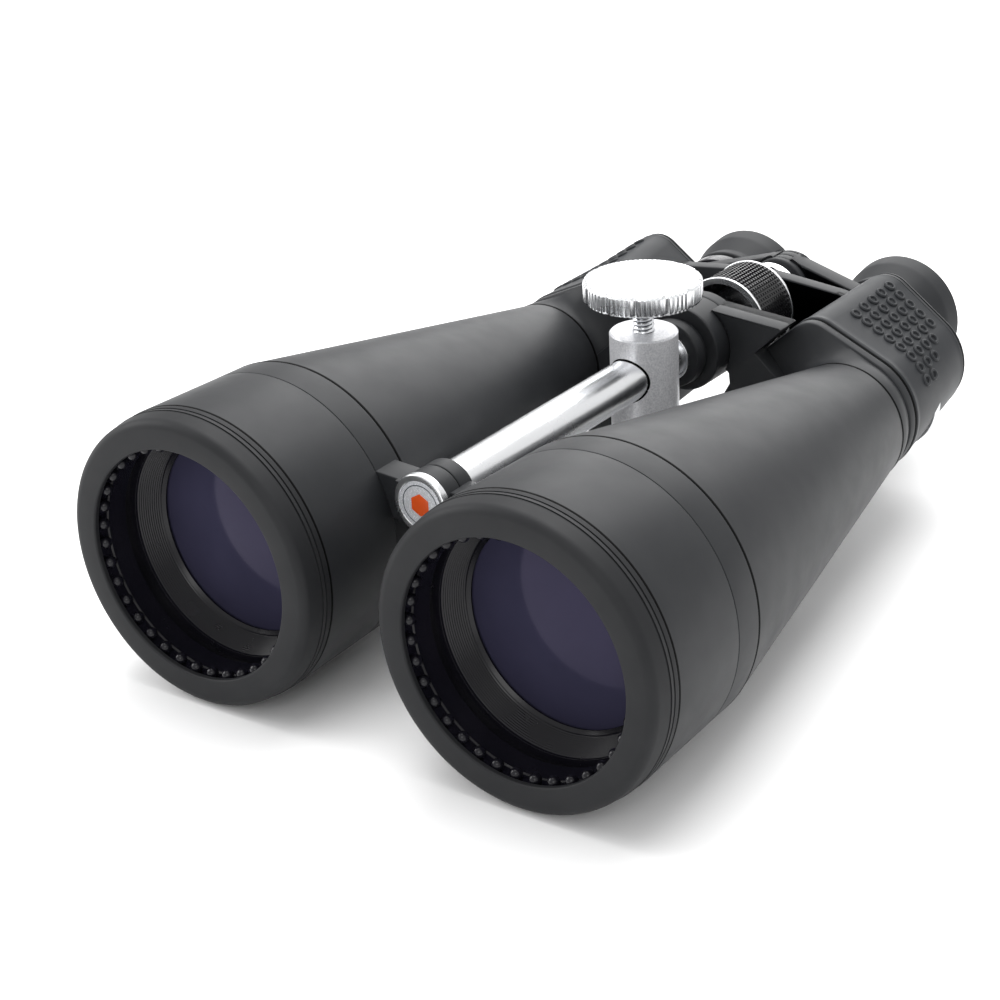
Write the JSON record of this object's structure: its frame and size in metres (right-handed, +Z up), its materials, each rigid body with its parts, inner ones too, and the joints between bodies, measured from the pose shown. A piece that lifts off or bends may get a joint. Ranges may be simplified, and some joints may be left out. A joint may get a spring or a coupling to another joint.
{
  "type": "astronomy binoculars",
  "caption": "Large Porro-prism binoculars with long tapered barrels, a central tripod rod with sliding post and clamp knob, focus wheel and folding hinge.",
  "frame": {"origin": "under the middle of the binoculars, level with the lowest point of the objective hoods", "axes": "+Y from the objectives to the eyepieces along the optical axes, +X to the side, +Z up"},
  "size_m": [0.2354, 0.32, 0.1079],
  "materials": {
    "black_paint": "satin black paint on cast aluminium",
    "hood_rubber": "matte black rubber",
    "black_anodised": "black anodised, semi-gloss",
    "coated_glass": "polished, violet coated",
    "prism_glass": "polished",
    "grip_rubber": "satin black rubber with raised dimples",
    "eyecup_rubber": "matte black soft rubber",
    "wheel_rubber": "black, fine knurl",
    "bright_aluminium": "satin silver",
    "blasted_aluminium": "bead blasted",
    "bare_aluminium": "machined",
    "steel": "machined",
    "black_steel": "black oxide",
    "badge_enamel": "pale printed disc with a plain orange hexagon",
    "nylon": "matte"
  },
  "bodies": {
    "spine": {"rod": "bright_aluminium", "rod_cap": "bright_aluminium", "rod_badge": "badge_enamel", "rod_washer": "steel", "knuckle_cap": "black_paint", "hinge_shaft": "steel", "rear_collar": "bright_aluminium"},
    "right_barrel": {"right_objective_hood": "hood_rubber", "right_objective_sleeve": "black_paint", "right_front_bracket": "black_paint", "right_bead_ring": "black_anodised", "right_retaining_ring": "black_anodised", "right_objective_cell": "black_anodised", "right_crown_lens": "coated_glass", "right_flint_lens": "coated_glass", "right_barrel_cone": "black_paint", "right_prism_housing": "black_paint", "right_grip_cover": "grip_rubber", "right_rear_cover": "black_paint", "right_cover_screws": "black_steel", "right_prism_shelf": "bare_aluminium", "right_prism_rear": "prism_glass", "right_prism_front": "prism_glass", "right_grub_screw": "black_steel"},
    "left_barrel": {"left_objective_hood": "hood_rubber", "left_objective_sleeve": "black_paint", "left_front_bracket": "black_paint", "left_bead_ring": "black_anodised", "left_retaining_ring": "black_anodised", "left_objective_cell": "black_anodised", "left_crown_lens": "coated_glass", "left_flint_lens": "coated_glass", "left_barrel_cone": "black_paint", "left_prism_housing": "black_paint", "left_grip_cover": "grip_rubber", "left_rear_cover": "black_paint", "left_cover_screws": "black_steel", "left_prism_shelf": "bare_aluminium", "left_prism_rear": "prism_glass", "left_prism_front": "prism_glass", "left_grub_screw": "black_steel"},
    "focus_wheel": {"focus_wheel": "wheel_rubber", "focus_wheel_rims": "bright_aluminium"},
    "focus_bridge": {"bridge_hub": "black_paint", "focus_spindle": "steel"},
    "left_eyepiece": {"left_bridge_arm": "black_paint", "left_ocular_tube": "black_anodised", "left_field_lens": "coated_glass", "left_eye_lens": "coated_glass", "left_eyecup": "eyecup_rubber"},
    "right_eyepiece_arm": {"right_bridge_arm": "black_paint"},
    "diopter_ring": {"diopter_ring": "black_anodised"},
    "right_ocular": {"right_ocular_tube": "black_anodised", "right_field_lens": "coated_glass", "right_eye_lens": "coated_glass", "right_eyecup": "eyecup_rubber"},
    "tripod_post": {"tripod_post": "blasted_aluminium"},
    "clamp_pad": {"clamp_pad": "nylon"},
    "clamp_knob": {"clamp_knob": "bright_aluminium", "clamp_screw": "steel"}
  },
  "joints": [
    {"name": "barrel_fold", "type": "hinge", "parent": "spine", "child": "right_barrel", "pos_m": [0, -0.01, 0.07225], "axis": [0, 1, 0], "range_deg": [-3.6, 18]},
    {"name": "left_barrel_fold", "type": "hinge", "parent": "spine", "child": "left_barrel", "pos_m": [0, -0.01, 0.07225], "axis": [0, 1, 0], "range_deg": [-18, 3.6]},
    {"name": "focus_turn", "type": "hinge", "parent": "spine", "child": "focus_wheel", "pos_m": [0, 0.088, 0.07225], "axis": [0, 1, 0], "range_deg": [-180, 180]},
    {"name": "bridge_travel", "type": "slide", "parent": "spine", "child": "focus_bridge", "axis": [0, 1, 0], "range_m": [-0.003, 0.003]},
    {"name": "left_eyepiece_fold", "type": "hinge", "parent": "focus_bridge", "child": "left_eyepiece", "pos_m": [0, 0.125, 0.07225], "axis": [0, 1, 0], "range_deg": [-18, 3.6]},
    {"name": "right_eyepiece_fold", "type": "hinge", "parent": "focus_bridge", "child": "right_eyepiece_arm", "pos_m": [0, 0.125, 0.07225], "axis": [0, 1, 0], "range_deg": [-3.6, 18]},
    {"name": "diopter_turn", "type": "hinge", "parent": "right_eyepiece_arm", "child": "diopter_ring", "pos_m": [0.035, 0.133, 0.05525], "axis": [0, 1, 0], "range_deg": [-60, 60]},
    {"name": "diopter_travel", "type": "slide", "parent": "right_eyepiece_arm", "child": "right_ocular", "axis": [0, 1, 0], "range_m": [-0.0015, 0.0015]},
    {"name": "post_slide", "type": "slide", "parent": "spine", "child": "tripod_post", "axis": [0, 1, 0], "range_m": [-0.068, 0]},
    {"name": "pad_lift", "type": "slide", "parent": "tripod_post", "child": "clamp_pad", "axis": [0, 0, 1], "range_m": [0, 0.0025]},
    {"name": "knob_turn", "type": "hinge", "parent": "clamp_pad", "child": "clamp_knob", "pos_m": [0, 0.0195, 0.09225], "axis": [0, 0, 1], "range_deg": [0, 720]}
  ],
  "couplings": [
    {"joint": "left_barrel_fold", "follows": "barrel_fold", "ratio": -1},
    {"joint": "left_eyepiece_fold", "follows": "barrel_fold", "ratio": -1},
    {"joint": "right_eyepiece_fold", "follows": "barrel_fold", "ratio": 1},
    {"joint": "focus_turn", "follows": "bridge_travel", "rad_per_m": 1047.2},
    {"joint": "diopter_turn", "follows": "diopter_travel", "rad_per_m": 698.13},
    {"joint": "knob_turn", "follows": "pad_lift", "rad_per_m": 5026.5}
  ]
}
